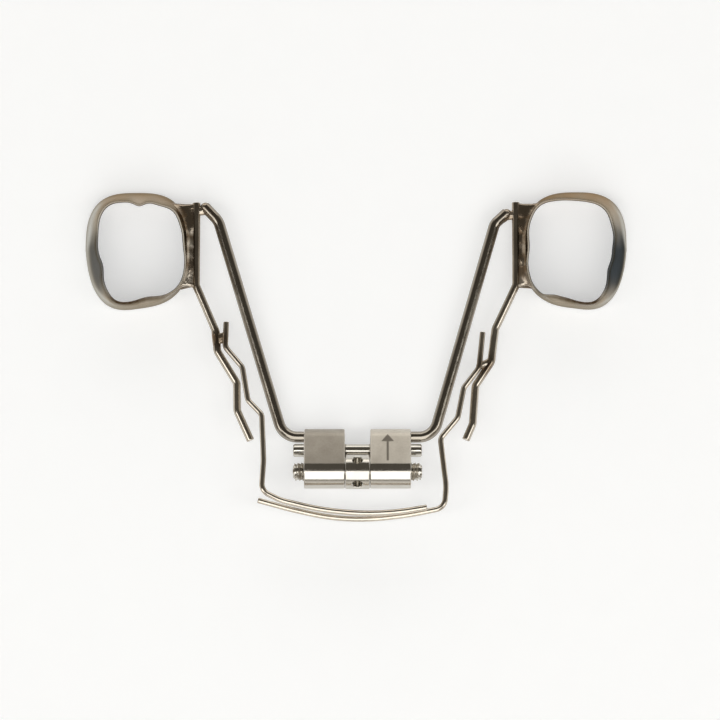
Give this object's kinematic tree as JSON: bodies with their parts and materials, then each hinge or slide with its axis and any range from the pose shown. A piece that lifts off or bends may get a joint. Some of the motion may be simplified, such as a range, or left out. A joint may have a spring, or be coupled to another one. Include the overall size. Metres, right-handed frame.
{
  "type": "palatal expander",
  "caption": "Fixed orthodontic expander: molar bands on bent and soldered steel wires, spread apart by a key-turned double-threaded screw with a guide pin.",
  "frame": {"origin": "middle of the spindle, where the key holes cross, on the midline of the appliance", "axes": "+X along the spindle to the right as seen from the chewing side with the front below, +Y back towards the molar bands, +Z out of the jaw away from the gum; it rests on the bands' gum edges and the screw"},
  "size_m": [0.0581, 0.0361, 0.0051],
  "materials": {
    "satin_steel": "satin blasted plate, polished edges",
    "screw_steel": "turned, polished",
    "wire_steel": "drawn, polished",
    "band_steel": "rolled sheet, polished",
    "silver_solder": "flowed silver solder, polished"
  },
  "bodies": {
    "screw_core": {"guide_pin": "screw_steel"},
    "spindle": {"spindle": "screw_steel"},
    "left_half": {"left_housing": "satin_steel", "left_arm": "wire_steel", "left_molar_band": "band_steel", "left_support_wire": "wire_steel", "left_arch_wire": "wire_steel", "left_band_solder": "silver_solder", "left_arm_solder": "silver_solder", "left_wire_solder": "silver_solder"},
    "right_half": {"right_housing": "satin_steel", "right_arm": "wire_steel", "right_molar_band": "band_steel", "right_support_wire": "wire_steel", "right_arch_wire": "wire_steel", "right_band_solder": "silver_solder", "right_arm_solder": "silver_solder", "right_wire_solder": "silver_solder"}
  },
  "joints": [
    {"name": "left_slide", "type": "slide", "parent": "screw_core", "child": "left_half", "axis": [-1, 0, 0], "range_m": [0, 0.0035]},
    {"name": "right_slide", "type": "slide", "parent": "screw_core", "child": "right_half", "axis": [1, 0, 0], "range_m": [0, 0.0035]},
    {"name": "spindle_turn", "type": "hinge", "parent": "screw_core", "child": "spindle", "pos_m": [0, 0, 0], "axis": [-1, 0, 0], "range_deg": [0, 3150]}
  ],
  "couplings": [
    {"joint": "right_slide", "follows": "left_slide", "ratio": 1},
    {"joint": "spindle_turn", "follows": "left_slide", "rad_per_m": 15708}
  ]
}
